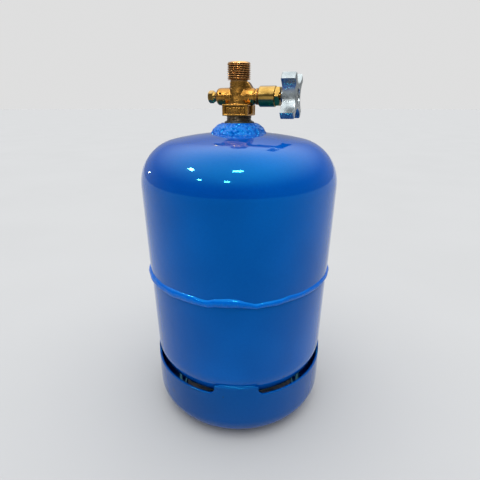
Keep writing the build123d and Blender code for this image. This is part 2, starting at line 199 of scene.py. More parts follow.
# ------------------------------------------------------------------ materials
class Mat:
    def __init__(self, name, **sockets):
        self.m = bpy.data.materials.new(name)
        self.m.use_nodes = True
        self.t = self.m.node_tree
        self.p = self.t.nodes["Principled BSDF"]
        for k, v in sockets.items():
            self.p.inputs[k.replace("_", " ")].default_value = v
        self.co = self.t.nodes.new("ShaderNodeTexCoord").outputs["Object"]

    def n(self, kind, **props):
        nd = self.t.nodes.new("ShaderNode" + kind)
        for k, v in props.items():
            setattr(nd, k, v)
        return nd

    def link(self, a, b):
        self.t.links.new(a, b)

    def noise(self, scale, detail=3.0, rough=0.5, distortion=0.0, co=None):
        nd = self.n("TexNoise")
        nd.inputs["Scale"].default_value = scale
        nd.inputs["Detail"].default_value = detail
        nd.inputs["Roughness"].default_value = rough
        nd.inputs["Distortion"].default_value = distortion
        self.link(co or self.co, nd.inputs["Vector"])
        return nd.outputs["Fac"]

    def voronoi(self, scale, feature="F1", rand=1.0):
        nd = self.n("TexVoronoi", feature=feature)
        nd.inputs["Scale"].default_value = scale
        nd.inputs["Randomness"].default_value = rand
        self.link(self.co, nd.inputs["Vector"])
        return nd

    def stretch(self, sx, sy, sz):
        nd = self.n("Mapping")
        nd.inputs["Scale"].default_value = (sx, sy, sz)
        self.link(self.co, nd.inputs["Vector"])
        return nd.outputs["Vector"]

    def range(self, src, a, b, c, d, smooth=True):
        nd = self.n("MapRange", interpolation_type="SMOOTHSTEP" if smooth else "LINEAR")
        for k, v in zip(("From Min", "From Max", "To Min", "To Max"), (a, b, c, d)):
            nd.inputs[k].default_value = v
        self.link(src, nd.inputs["Value"])
        return nd.outputs["Result"]

    def mix(self, fac, a, b, mode="MIX"):
        nd = self.n("Mix", data_type="RGBA", blend_type=mode)
        if isinstance(fac, float):
            nd.inputs[0].default_value = fac
        else:
            self.link(fac, nd.inputs[0])
        for s, v in ((6, a), (7, b)):
            if isinstance(v, tuple):
                nd.inputs[s].default_value = (*v, 1.0)
            else:
                self.link(v, nd.inputs[s])
        return nd.outputs[2]

    def math(self, op, a, b):
        nd = self.n("Math", operation=op)
        for s, v in ((0, a), (1, b)):
            if isinstance(v, (int, float)):
                nd.inputs[s].default_value = v
            else:
                self.link(v, nd.inputs[s])
        return nd.outputs[0]

    def bump(self, height, strength, distance, normal=None):
        nd = self.n("Bump")
        nd.inputs["Strength"].default_value = strength
        nd.inputs["Distance"].default_value = distance
        self.link(height, nd.inputs["Height"])
        if normal is not None:
            self.link(normal, nd.inputs["Normal"])
        return nd.outputs["Normal"]

    def attr(self, name):
        return self.n("Attribute", attribute_name=name).outputs["Fac"]


def enamel(name, deep, light, dirt=0.0, peel_amt=0.10):
    m = Mat(name, Metallic=0.0, Specular_IOR_Level=0.6)
    m.p.inputs["Specular Tint"].default_value = (0.05, 0.80, 1.0, 1.0)
    big = m.noise(9.0, 2.0)
    col = m.mix(m.range(big, 0.35, 0.65, 0.0, 1.0), deep, light)
    fine = m.noise(420.0, 2.0)
    col = m.mix(m.range(fine, 0.3, 0.7, 0.0, 0.12), col, (0.0, deep[1] * 0.6, deep[2] * 0.7))
    # sparse dark specks and pin chips
    sp = m.voronoi(48.0)
    d = m.range(sp.outputs["Distance"], 0.032, 0.045, 1.0, 0.0)
    pick = m.range(m.noise(23.0, 1.0), 0.57, 0.60, 0.0, 1.0)
    col = m.mix(m.math("MULTIPLY", d, pick), col, (0.008, 0.010, 0.016))
    if dirt:
        streak = m.noise(60.0, 4.0, 0.6)
        col = m.mix(m.range(streak, 0.64, 0.78, 0.0, dirt), col, (0.06, 0.055, 0.05))
    m.link(col, m.p.inputs["Base Color"])
    m.link(m.range(m.noise(160.0, 3.0), 0.3, 0.7, 0.035, 0.075), m.p.inputs["Roughness"])
    peel = m.noise(330.0, 2.0, 0.45)
    wave = m.noise(42.0, 1.0)
    nrm = m.bump(wave, 0.12, 0.0010)
    nrm = m.bump(peel, peel_amt, 0.00022, nrm)
    m.link(nrm, m.p.inputs["Normal"])
    return m.m


def brass(name, light, dark, rough, grain, turned=None, painted_crease_light=False):
    m = Mat(name, Metallic=1.0, Specular_IOR_Level=0.5)
    big = m.noise(120.0, 4.0, 0.6)
    col = m.mix(m.range(big, 0.30, 0.70, 0.0, 1.0), dark, light)
    fine = m.noise(1500.0, 3.0, 0.6)
    col = m.mix(m.range(fine, 0.35, 0.75, 0.0, 0.35), col, tuple(0.55 * c for c in dark))
    if painted_crease_light:
        # painted light: the crease attribute darkens creases and recesses as painted shade, and lightens convex edges
        # as a painted highlight
        crease_shade_edge_highlight = m.attr("crease_shade_edge_highlight")
        col = m.mix(m.range(crease_shade_edge_highlight, 0.02, 0.16, 0.0, 0.85), col, (0.05, 0.028, 0.008))
        col = m.mix(m.range(crease_shade_edge_highlight, -0.03, -0.12, 0.0, 0.55), col, tuple(min(1.0, 1.25 * c) for c in light))
    m.link(col, m.p.inputs["Base Color"])
    m.link(m.range(m.noise(260.0, 3.0), 0.3, 0.7, rough[0], rough[1]), m.p.inputs["Roughness"])
    h = m.noise(1700.0, 3.0, 0.6)
    nrm = m.bump(h, grain, 0.00012)
    if turned:
        lines = m.noise(1.0, 2.0, 0.6, co=m.stretch(*turned))
        nrm = m.bump(lines, 0.25, 0.00006, nrm)
    m.link(nrm, m.p.inputs["Normal"])
    return m.m


def cast_metal(name, base, dark, rough):
    m = Mat(name, Metallic=0.85, Specular_IOR_Level=0.5)
    c = m.mix(m.range(m.noise(90.0, 4.0, 0.6), 0.3, 0.7, 0.0, 1.0), base, dark)
    c = m.mix(m.range(m.noise(900.0, 2.0), 0.55, 0.8, 0.0, 0.5), c, tuple(0.5 * x for x in dark))
    m.link(c, m.p.inputs["Base Color"])
    m.link(m.range(m.noise(300.0, 3.0), 0.3, 0.7, rough[0], rough[1]), m.p.inputs["Roughness"])
    nrm = m.bump(m.noise(1100.0, 3.0, 0.65), 0.55, 0.00016)
    m.link(nrm, m.p.inputs["Normal"])
    return m.m


def dull(name, a, b, rough, scale=500.0, bump=0.4, metal=0.0):
    m = Mat(name, Metallic=metal, Specular_IOR_Level=0.4)
    m.link(m.mix(m.range(m.noise(scale, 4.0, 0.6), 0.3, 0.7, 0.0, 1.0), a, b), m.p.inputs["Base Color"])
    m.link(m.range(m.noise(scale * 0.5, 3.0), 0.3, 0.7, rough[0], rough[1]), m.p.inputs["Roughness"])
    m.link(m.bump(m.noise(scale * 2.0, 3.0, 0.6), bump, 0.0002), m.p.inputs["Normal"])
    return m.m


BLUE = enamel("enamel_body", (0.0, 0.068, 0.39), (0.0, 0.090, 0.47))
# the same blue enamel as the shell, made lighter for the weld beads, boss and neck weld as a painted highlight
BLUE_WELD_HIGHLIT = enamel("enamel_weld_painted_highlight", (0.0, 0.115, 0.60), (0.0, 0.145, 0.68), peel_amt=0.25)
# the same blue enamel again, made darker for the foot ring and its welds as painted shade; the dirt streaks on it are
# real dirt
BLUE_FOOT_SHADED = enamel("enamel_foot_dirt_painted_shade", (0.0, 0.042, 0.26), (0.0, 0.056, 0.32), dirt=0.30)
FORGED = brass("brass_forged_skin", (0.42, 0.215, 0.045), (0.27, 0.125, 0.022), (0.20, 0.34), 0.40, painted_crease_light=True)
THREAD = brass("brass_thread", (0.60, 0.345, 0.135), (0.44, 0.23, 0.08), (0.18, 0.28), 0.06, painted_crease_light=True)
TURNED = brass("brass_turned_bar", (0.44, 0.28, 0.075), (0.33, 0.195, 0.045), (0.12, 0.24), 0.12, turned=(2600.0, 40.0, 40.0))
STEM = dull("stem_sealant_thread", (0.035, 0.028, 0.015), (0.16, 0.10, 0.04), (0.30, 0.55), 420.0, 0.5, 0.35)
SEALANT = dull("sealant_dark", (0.010, 0.011, 0.008), (0.035, 0.035, 0.022), (0.35, 0.6), 600.0, 0.6)
ZINC = cast_metal("zinc_cast", (0.37, 0.405, 0.41), (0.23, 0.26, 0.27), (0.22, 0.36))
STEEL = dull("zinc_plated", (0.55, 0.55, 0.52), (0.42, 0.42, 0.40), (0.25, 0.4), 700.0, 0.2, 1.0)
RUBBER = dull("nitrile", (0.012, 0.012, 0.013), (0.03, 0.03, 0.03), (0.45, 0.65), 900.0, 0.3)
NYLON = dull("nylon_natural", (0.72, 0.69, 0.58), (0.60, 0.56, 0.45), (0.35, 0.5), 300.0, 0.2)
PACKING = dull("ptfe_packing", (0.80, 0.80, 0.77), (0.68, 0.68, 0.64), (0.35, 0.5), 800.0, 0.3)
COPPER = brass("copper_ring", (0.26, 0.14, 0.06), (0.16, 0.085, 0.035), (0.3, 0.45), 0.2)

# ------------------------------------------------------------------ pressure vessel
def wobble(seed, amp, seam_z):
    def f(th, r, z):
        x, y = 100 * np.cos(th), 100 * np.sin(th)
        w = np.zeros_like(r)
        cols = np.unique(np.round(z[0], 3))
        for s, a in ((95.0, 1.0), (38.0, 0.35)):
            w += a * noise_grid(x, y, z, s, seed)
        # the wall is drawn in a little beside the weld
        pull = -0.35 * np.exp(-((z - seam_z) / 9.0) ** 2)
        return r + (amp * w + pull) * np.clip(r / 100.0, 0, 1), z
    return f


zs = 176.8
outer = [(R_UP, z) for z in np.linspace(Z_EDGE, Z_UT, 26)[:-1]] + end_arcs(R_UP, Z_UT, H_END, R_KN, 18.1, 1)
inner = [(R_UP - T_CUP, z) for z in (Z_EDGE, 210.0, 240.0)] + end_arcs(R_UP - T_CUP, Z_UT, H_END - T_CUP, R_KN - T_CUP, 18.1, 1, 12, 12)
up = lathe("upper_cup", outer + inner[::-1], 256, wobble(3.1, 0.16, zs))
attach(up, "tank", "enamel", BLUE, "upper_shell")

outer = end_arcs(R_LO, Z_LT, H_END, R_KN, 0.0, -1)[::-1] + [(R_LO, z) for z in np.linspace(Z_LT, 172.5, 22)[1:]] + [(99.95, 175.5), (99.95, Z_LIP)]
outer[0] = (0.0, outer[0][1])
inner = [(97.95, Z_LIP), (97.95, 175.5), (99.0, 172.5)] + [(99.0, z) for z in (150.0, 120.0)] + end_arcs(99.0, Z_LT, H_END - T_CUP, R_KN - T_CUP, 0.0, -1, 12, 12)
inner[-1] = (0.0, inner[-1][1])
low = lathe("lower_cup", outer + inner, 256, wobble(8.7, 0.14, zs))
attach(low, "tank", "enamel", BLUE, "lower_shell")


# ---- girth weld: ripples, wandering width, and the lap where the bead starts and stops
def lerp_table(phi, table):
    xs, ys = zip(*table)
    return np.interp(phi, xs, ys)


def seam(n=1800, m=15):
    th = np.linspace(0, 2 * PI, n, endpoint=False)
    az = (np.degrees(th) + 90.0 - CAM_AZ + 180.0) % 360.0 - 180.0
    half = lerp_table(az, [(-180, 4.3), (-110, 4.6), (-60, 4.9), (-30, 5.0), (-17, 4.4), (-13, 4.9), (-4, 5.2), (3, 3.9), (8, 3.1), (20, 3.3), (45, 3.5), (75, 3.8), (130, 4.2), (180, 4.3)])
    mid = lerp_table(az, [(-180, 0.2), (-90, 0.0), (-35, -0.2), (-17, -1.0), (-13, 0.8), (-5, 1.7), (0, 1.3), (4, -0.6), (9, -2.1), (16, -1.5), (30, 0.1), (60, 0.3), (120, 0.0), (180, 0.2)])
    crest = lerp_table(az, [(-180, 2.2), (-60, 2.7), (-18, 2.6), (-13, 3.2), (-5, 3.4), (1, 3.0), (5, 2.2), (9, 2.6), (18, 2.2), (40, 2.0), (90, 2.1), (180, 2.2)])
    arc = th * 102.0
    ring = lambda s, seed: np.array([noise.noise(Vector((math.cos(t) * 102 / s + seed, math.sin(t) * 102 / s, seed))) for t in th])
    half = half * (1 + 0.10 * ring(9.0, 1.7) + 0.05 * ring(3.2, 5.7))
    mid = mid + 0.55 * ring(16.0, 9.1) + 0.2 * ring(5.0, 2.2)
    crest = crest * (1 + 0.22 * ring(7.0, 4.4) + 0.10 * ring(2.6, 6.1))
    t = np.linspace(-1, 1, m)
    P = np.zeros((n, m + 4, 3))
    for j, tj in enumerate(t):
        toe = R_LO + (R_UP - R_LO) * (tj + 1) / 2
        body = (1 - abs(tj) ** 2.3) ** 0.85
        ripple = 0.16 * np.sin(2 * PI * (arc / 2.15 + 0.9 * (1 - tj * tj) + 0.25 * ring(20.0, 3.3))) * (1 - tj * tj)
        r = toe - 0.25 + crest * body + ripple * body
        z = zs + mid + half * tj
        P[:, j] = np.stack([r * np.cos(th), r * np.sin(th), z], -1)
    # buried back of the bead
    for k, (r0, dz) in enumerate(((101.4, 5.1), (101.2, 2.0), (100.3, -3.0), (100.3, -5.0))):
        r = np.full(n, r0 - 0.6)
        z = zs + dz + 0 * th
        P[:, m + k] = np.stack([r * np.cos(th), r * np.sin(th), z], -1)
    ob = finish_mesh("girth_weld_bead", P.reshape(-1, 3), grid_faces(n, m + 4, True), sharp=60.0)
    return attach(ob, "tank", "enamel", BLUE_WELD_HIGHLIT, "seam_weld")


seam()

# ------------------------------------------------------------------ foot ring
R_FT, R_FT_TOP, Z_FT_TOP, R_CURL, T_FOOT, LAND = 103.5, 101.9, 76.0, 28.0, 2.5, 4.0
TAB_AZ, TAB_ARC, SLOT_DEEP, SLOT_R = 17.3, 26.8, 10.8, 7.0


def foot_top(az):
    """Height of the band's top edge at an azimuth: tabs, slots and their rounded corners."""
    a = np.abs((az - TAB_AZ + 45.0) % 90.0 - 45.0)
    s = np.radians(a - TAB_ARC / 2) * 102.5          # arc length past the tab's side, mm
    z = np.where(s < 0, Z_FT_TOP, Z_FT_TOP - SLOT_DEEP)
    top = Z_FT_TOP - SLOT_DEEP
    inside = (s >= 0) & (s < SLOT_R)
    z = np.where(inside, top + SLOT_R - np.sqrt(np.clip(SLOT_R ** 2 - (SLOT_R - s) ** 2, 0, None)), z)
    rt = 1.6
    edge = (s < 0) & (s > -rt)
    z = np.where(edge, Z_FT_TOP - rt + np.sqrt(np.clip(rt ** 2 - (s + rt) ** 2, 0, None)), z)
    return z


def foot():
    base = np.linspace(0, 360, 360, endpoint=False)
    extra = []
    for k in range(4):
        for side in (-1, 1):
            c = TAB_AZ + 90.0 * k + side * TAB_ARC / 2
            for s in list(np.linspace(-1.7, 0.0, 12)) + [0.001] + list(SLOT_R * (1 - np.cos(np.linspace(0.02, PI / 2, 14)))):
                extra.append((c + side * math.degrees(s / 102.5)) % 360.0)
    az = np.unique(np.round(np.concatenate([base, extra]), 6))
    th = np.radians(az - 90.0)
    zt = foot_top(az)
    zb = R_CURL
    rb = ((R_FT - R_FT_TOP) ** 2 + (Z_FT_TOP - zb) ** 2) / (2.0 * (R_FT - R_FT_TOP))
    wall = lambda z, t: R_FT - rb + np.sqrt((rb - t) ** 2 - (z - zb) ** 2)
    n = len(az)
    wave = 0.22 * np.array([noise.noise(Vector((math.cos(t) * 2.2, math.sin(t) * 2.2, 4.0))) for t in th])
    rows = []
    er = 0.7
    for q in np.linspace(0, PI / 2, 5):              # rounded outer lip of the top edge
        z = zt - er + er * math.cos(q)
        r = wall(zt, 0) - er + er * math.sin(q)
        rows.append((r, z))
    levels = np.linspace(0.02, 1.0, 10)
    for f in levels:                                  # band down to the curl's start
        z = (zt - er) + (60.0 - (zt - er)) * f
        rows.append((wall(z, 0), z))
    for z in np.linspace(60.0, zb, 14)[1:]:
        rows.append((wall(z, 0) + 0 * zt, z + 0 * zt))
    for q in np.linspace(0, PI / 2, 26)[1:]:
        rows.append((R_FT - R_CURL + R_CURL * math.cos(q) + 0 * zt, R_CURL - R_CURL * math.sin(q) + 0 * zt))
    rl = R_FT - R_CURL
    rows.append((rl - LAND + 0.6 + 0 * zt, 0 * zt))
    for q in np.linspace(0, PI, 9):                   # rolled inner lip
        rows.append((rl - LAND + 0.8 - (T_FOOT / 2) * math.sin(q) + 0 * zt, T_FOOT / 2 - (T_FOOT / 2) * math.cos(q) + 0 * zt))
    for q in np.linspace(PI / 2, 0, 16):
        c = R_CURL - T_FOOT
        rows.append((rl + c * math.cos(q) + 0 * zt, R_CURL - c * math.sin(q) + 0 * zt))
    for z in np.linspace(zb, 60.0, 6)[1:]:
        rows.append((wall(z, T_FOOT) + 0 * zt, z + 0 * zt))
    for f in (0.25, 0.5, 0.75, 0.95):
        z = 60.0 + (zt - er - 60.0) * f
        rows.append((wall(z, T_FOOT), z))
    for q in np.linspace(0, PI / 2, 5):
        rows.append((wall(zt, T_FOOT) + er - er * math.cos(q), zt - er + er * math.sin(q)))
    m = len(rows)
    P = np.zeros((n, m, 3))
    for j, (r, z) in enumerate(rows):
        rr = r + wave * np.clip(z / 40.0, 0, 1)
        P[:, j] = np.stack([rr * np.cos(th), rr * np.sin(th), np.maximum(z, 0.0)], -1)
    ob = finish_mesh("foot_ring_band", P.reshape(-1, 3), grid_faces(n, m, True), sharp=50.0)
    return attach(ob, "tank", "enamel", BLUE_FOOT_SHADED, "foot_ring")


foot()


# ---- the tabs' fillet welds: four short lumpy beads
def tab_welds():
    verts, faces = [], []
    kc = R_LO - R_KN
    shell_r = lambda z: kc + math.sqrt(R_KN ** 2 - (Z_LT - z) ** 2)
    for k in range(4):
        n, m = 120, 12
        off = len(verts)
        half = TAB_ARC / 2 - 1.6
        for i in range(n):
            u = -1 + 2 * i / (n - 1)
            az = TAB_AZ + 90.0 * k + half * u
            th = math.radians(az - 90.0)
            e = math.sqrt(max(0.0, 1 - abs(u) ** 8))
            lump = 1 + 0.22 * n3(i * 0.35, k * 7.0, 0, 3.0, 2.0) + 0.10 * math.sin(i * 1.25)
            s = (0.12 + 0.88 * e) * lump
            c_r, c_z = shell_r(Z_FT_TOP) + 0.35, Z_FT_TOP - 0.1
            for j in range(m):
                q = 2 * PI * j / m
                rr = c_r + (1.5 * s) * math.cos(q)
                zz = c_z + (1.35 * s) * math.sin(q)
                verts.append((rr * math.cos(th), rr * math.sin(th), zz))
        for i in range(n - 1):
            for j in range(m):
                a, b = off + i * m, off + (i + 1) * m
                faces.append((a + j, b + j, b + (j + 1) % m, a + (j + 1) % m))
        faces.append(tuple(off + j for j in range(m)))
        faces.append(tuple(off + (n - 1) * m + j for j in reversed(range(m))))
    ob = finish_mesh("foot_ring_weld_beads", verts, faces, sharp=60.0)
    return attach(ob, "tank", "enamel", BLUE_FOOT_SHADED, "foot_ring_welds")


tab_welds()

# ------------------------------------------------------------------ neck
rc_up = ((R_UP - R_KN) ** 2 + H_END ** 2 - R_KN ** 2) / (2 * (H_END - R_KN))
dome_z = lambda r: Z_UT + H_END - rc_up + math.sqrt(rc_up ** 2 - r * r)


def neck_weld(n=420):
    ctrl = [(28.4, dome_z(28.4) - 0.9), (27.4, dome_z(27.4) + 0.15), (26.4, 321.4), (25.1, 323.0), (23.6, 324.5), (22.0, 325.9), (20.6, 327.0), (19.3, 327.9), (18.3, 328.4), (17.2, 328.4)]
    tt = np.linspace(0, len(ctrl) - 1, 34)
    pr = [(np.interp(t, range(len(ctrl)), [c[0] for c in ctrl]), np.interp(t, range(len(ctrl)), [c[1] for c in ctrl])) for t in tt]
    pr += [(16.2, 326.0), (18.0, 319.0), (24.0, dome_z(24.0) - 1.6)]
    k = len(tt)

    def lumps(th, r, z):
        x, y = r * np.cos(th), r * np.sin(th)
        f = np.zeros_like(r)
        f[:, :k] = np.interp(np.arange(k), [0, 3, 8, k - 7, k - 1], [0.35, 0.8, 1.0, 0.9, 0.15])[None, :]
        big = noise_grid(x, y, z, 6.4, 1.3)
        mid = noise_grid(x, y, z, 3.1, 7.7)
        rip = np.sin(2 * PI * (th * 24.0 / 3.4 + 0.35 * (z - 324.0)) + 2.2 * noise_grid(x, y, z, 11.0, 3.0))
        blob = np.clip(noise_grid(x, y, z, 4.2, 12.9) - 0.16, 0, 1) * 2.2
        ridge = (0.22 - np.abs(noise_grid(x, y, z * 0.6, 4.6, 21.0))) * 2.2
        d = (1.15 * big + 0.45 * mid + 0.20 * rip + 0.5 * blob + 0.9 * ridge) * f
        nr, nz = 0.62, 0.78
        toe = np.zeros_like(r)
        toe[:, :4] = (0.9 * noise_grid(x, y, z * 0, 9.0, 5.0) + 0.4 * noise_grid(x, y, z * 0, 3.1, 6.0))[:, :4]
        return r + d * nr + toe, z + d * nz
    ob = lathe("neck_weld_lumps", pr, n, lumps, sharp=75.0)
    return attach(ob, "tank", "enamel", BLUE_WELD_HIGHLIT, "neck_weld")


neck_weld()


def ringnoise(amp, scale, seed):
    def f(th, r, z):
        x, y = r * np.cos(th), r * np.sin(th)
        d = amp * noise_grid(x, y, z, scale, seed)
        return r + d, z + 0.6 * d
    return f


boss = rounded([(13.0, Z_BOSS0, 0.4), (17.2, Z_BOSS0, 0.6), (18.0, Z_BOSS0 + 2.0, 0.5), (18.1, 327.0, 1.0), (18.0, Z_BOSS1 - 0.1, 0.75), (13.4, Z_BOSS1 - 0.1, 0.5), (12.3, Z_BOSS1 - 1.8, 0.4)])
attach(lathe("neck_boss_ring", boss, 200, ringnoise(0.14, 4.0, 2.0)), "tank", "enamel", BLUE_WELD_HIGHLIT, "neck_boss")

# ------------------------------------------------------------------ valve body: forging, outlet thread, stem thread
def box_mesh(bm, x0, x1, y0, y1, z0, z1, rot=0.0):
    c, s = math.cos(rot), math.sin(rot)
    vs = []
    for x, y, z in ((x0, y0, z0), (x1, y0, z0), (x1, y1, z0), (x0, y1, z0), (x0, y0, z1), (x1, y0, z1), (x1, y1, z1), (x0, y1, z1)):
        vs.append(bm.verts.new((x * c - y * s, x * s + y * c, z)))
    for f in ((3, 2, 1, 0), (4, 5, 6, 7), (0, 1, 5, 4), (1, 2, 6, 5), (2, 3, 7, 6), (3, 0, 4, 7)):
        bm.faces.new([vs[i] for i in f])


def tube_mesh(bm, prof, axis="z", n=72, cx=0.0):
    """Closed turned solid inside a bmesh.  prof runs from the axis to the axis."""
    rings = []
    for a, b in prof:
        r, t = (a, b) if axis == "z" else (b, a)
        if r < 1e-6:
            rings.append([bm.verts.new((cx, 0, t) if axis == "z" else (t, 0, Z_V))])
        else:
            ring = []
            for i in range(n):
                q = 2 * PI * i / n
                ring.append(bm.verts.new((cx + r * math.cos(q), r * math.sin(q), t) if axis == "z" else (t, r * math.cos(q), Z_V + r * math.sin(q))))
            rings.append(ring)
    for a, b in zip(rings, rings[1:]):
        for i in range(n):
            j = (i + 1) % n
            if len(a) == 1 and len(b) > 1:
                bm.faces.new((a[0], b[i], b[j]))
            elif len(b) == 1 and len(a) > 1:
                bm.faces.new((a[i], a[j], b[0]))
            elif len(a) > 1 and len(b) > 1:
                bm.faces.new((a[i], a[j], b[j], b[i]))


def prism_mesh(bm, outline, y0, y1):
    a = [bm.verts.new((x, y0, z)) for x, z in outline]
    b = [bm.verts.new((x, y1, z)) for x, z in outline]
    bm.faces.new(a)
    bm.faces.new(list(reversed(b)))
    for i in range(len(a)):
        j = (i + 1) % len(a)
        bm.faces.new((a[j], a[i], b[i], b[j]))


def laplace(co, edges, it, lam=0.5):
    n = len(co)
    deg = np.bincount(edges.ravel(), minlength=n).astype(float)[:, None]
    for _ in range(it):
        acc = np.zeros_like(co)
        np.add.at(acc, edges[:, 0], co[edges[:, 1]])
        np.add.at(acc, edges[:, 1], co[edges[:, 0]])
        co = co + lam * (acc / np.maximum(deg, 1) - co)
    return co


def forging():
    bm = bmesh.new()
    h = BLOCK / 2 + 0.3
    core = h - 1.1
    tube_mesh(bm, [(0, Z_BLOCK0), (core * 1.34, Z_BLOCK0), (core * 1.34, Z_BLOCK1 - 1), (core * 1.30, Z_BLOCK1), (0, Z_BLOCK1)], "z", 4 * 12)
    bm.clear()
    # block core with cut corners, then a raised frame on each side
    c = 1.0
    outline = [(-core, -core + c), (-core + c, -core), (core - c, -core), (core, -core + c), (core, core - c), (core - c, core), (-core + c, core), (-core, core - c)]
    a = [bm.verts.new((x, y, Z_BLOCK0)) for x, y in outline]
    b = [bm.verts.new((x, y, Z_BLOCK1)) for x, y in outline]
    bm.faces.new(list(reversed(a)))
    bm.faces.new(b)
    for i in range(8):
        j = (i + 1) % 8
        bm.faces.new((a[i], a[j], b[j], b[i]))
    w, f = h - 0.35, 1.75
    for k in range(4):
        rot = k * PI / 2
        for x0, x1, z0, z1 in ((-w, w, Z_BLOCK0 + 0.15, Z_BLOCK0 + f), (-w, w, Z_BLOCK1 - f, Z_BLOCK1 - 0.1),
                               (-w, -w + f, Z_BLOCK0 + 0.15, Z_BLOCK1 - 0.1), (w - f, w, Z_BLOCK0 + 0.15, Z_BLOCK1 - 0.1)):
            box_mesh(bm, x0, x1, -h, -core + 1.6, z0, z1, rot)
    for k in (0, 2):                                  # worn cast grid in the front and back panels
        rot = k * PI / 2
        zc = (Z_BLOCK0 + Z_BLOCK1) / 2
        for i in range(11):
            x = -8.25 + i * 1.65
            hgt = 2.0 + 0.3 * math.sin(i * 2.4)
            box_mesh(bm, x - 0.42, x + 0.42, -core - 0.42, -core + 1.0, zc - hgt, zc + hgt, rot)
        box_mesh(bm, -8.6, 8.6, -core - 0.25, -core + 1.0, zc - 0.35, zc + 0.35, rot)
    for sx in (-1, 1):                                # die parting rib up each side
        box_mesh(bm, min(sx * core, sx * (h + 1.2)), max(sx * core, sx * (h + 1.3)), -0.6, 3.8, Z_BLOCK0 + 1.6, Z_BLOCK1 + 0.6)
    # hub, barrel, necks
    tube_mesh(bm, [(0, Z_BLOCK1 - 2), (11.0, Z_BLOCK1 - 2), (11.0, Z_BLOCK1 + 0.4), (10.1, Z_V), (9.3, Z_V + 5), (8.8, Z_V + 8.5), (8.75, Z_THR0 - 1.6), (0, Z_THR0 - 1.6)], "z", 96)
    lx = node_mm("valve_body")[0][0]
    lx = -22.0
    tube_mesh(bm, [(lx, 0), (lx, 5.6), (lx + 0.3, 6.4), (lx + 0.9, 7.1), (lx + 1.8, 7.6), (lx + 3.0, 7.85), (-4, 8.0), (0, 8.0), (0, 0)], "x", 96)
    tube_mesh(bm, [(0, 0), (0, 8.6), (8.0, 8.3), (12.0, 7.9), (15.6, 7.35), (16.8, 6.5), (17.3, 6.5), (17.9, 7.25), (19.35, 7.25), (19.35, 0)], "x", 96)
    prism_mesh(bm, [(0, Z_V), (0, 365.6), (9.4, 365.5), (10.9, 364.2), (15.6, 357.6), (16.2, Z_V)], -4.3, 4.3)
    prism_mesh(bm, [(-13.0, Z_V), (-12.0, 359.6), (-9.0, 361.0), (-8.4, 363.5), (0, 363.5), (0, Z_V)], -1.3, 1.3)
    # raised pads along both sides of the barrel
    for side in (-1, 1):
        for i in range(8):
            x = -9.6 + i * 2.55
            wdt = 0.85 + 0.2 * math.cos(i * 1.9)
            y0, y1 = sorted((side * 5.0, side * 8.85))
            box_mesh(bm, x - wdt, x + wdt, y0, y1, Z_V - 3.1, Z_V + 1.4 + 0.3 * math.sin(i * 2.1))
        y0, y1 = sorted((side * 5.0, side * 8.35))
        box_mesh(bm, -11.6, 10.6, y0, y1, Z_V - 3.7, Z_V + 2.2)
    bmesh.ops.recalc_face_normals(bm, faces=bm.faces)
    me = bpy.data.meshes.new("valve_forging")
    bm.to_mesh(me)
    bm.free()
    ob = bpy.data.objects.new("valve_forging", me)
    bpy.context.scene.collection.objects.link(ob)
    me.remesh_voxel_size = 0.24
    me.remesh_voxel_adaptivity = 0.0
    md = ob.modifiers.new("remesh", "REMESH")
    md.mode = "VOXEL"
    md.voxel_size = 0.23
    dg = bpy.context.evaluated_depsgraph_get()
    new = bpy.data.meshes.new_from_object(ob.evaluated_get(dg))
    bpy.data.objects.remove(ob)
    co = np.zeros(len(new.vertices) * 3)
    new.vertices.foreach_get("co", co)
    co = co.reshape(-1, 3)
    ed = np.zeros(len(new.edges) * 2, int)
    new.edges.foreach_get("vertices", ed)
    ed = ed.reshape(-1, 2)
    co = laplace(co, ed, 2, 0.5)
    new.vertices.foreach_set("co", co.ravel())
    new.update()
    nr = np.zeros(len(new.vertices) * 3)
    new.vertices.foreach_get("normal", nr)
    nr = nr.reshape(-1, 3)
    # the curvature measure below feeds painted shade in creases and a painted highlight on convex edges
    soft = laplace(co, ed, 26, 0.5)
    crease_shade_edge_highlight = ((soft - co) * nr).sum(1)
    # forged skin, and the vent beside the bleed screw
    d = np.array([0.05 * n3(*p, 1.1, 3.0) + 0.06 * n3(*p, 3.6, 8.0) for p in co])
    vd = Vector((0, -math.cos(math.radians(20)), math.sin(math.radians(20))))
    rel = co - np.array([-17.0, 0, Z_V])
    along = rel @ np.array(vd)
    rad = np.linalg.norm(rel - along[:, None] * np.array(vd)[None, :], axis=1)
    hole = (along > 0) * np.clip((1.05 - rad) / 0.35, 0, 1)
    co = co + nr * d[:, None] - np.array(vd)[None, :] * (hole * 2.4)[:, None]
    # painted shade: the set-back panels and the vent hole are painted darker than the frames round them
    flat = (co[:, 2] > Z_BLOCK0 + 1.6) & (co[:, 2] < Z_BLOCK1 - 1.6)
    deep_y = flat & (np.abs(co[:, 0]) < h - 1.9) & (np.abs(co[:, 1]) > core - 2.0) & (np.abs(co[:, 1]) < h - 0.25)
    deep_x = flat & (np.abs(co[:, 1]) < h - 1.9) & (np.abs(co[:, 0]) > core - 2.0) & (np.abs(co[:, 0]) < h - 0.25)
    crease_shade_edge_highlight = crease_shade_edge_highlight + hole * 0.4 + 0.045 * (deep_y | deep_x)
    new.vertices.foreach_set("co", (co * MM).ravel())
    at = new.attributes.new("crease_shade_edge_highlight", "FLOAT", "POINT")
    at.data.foreach_set("value", crease_shade_edge_highlight.astype(np.float32))
    new.polygons.foreach_set("use_smooth", [True] * len(new.polygons))
    new.update()
    ob = bpy.data.objects.new("valve_forging", new)
    bpy.context.scene.collection.objects.link(ob)
    return attach(ob, "tank", "brass_forged", FORGED, "valve_body")


forging()


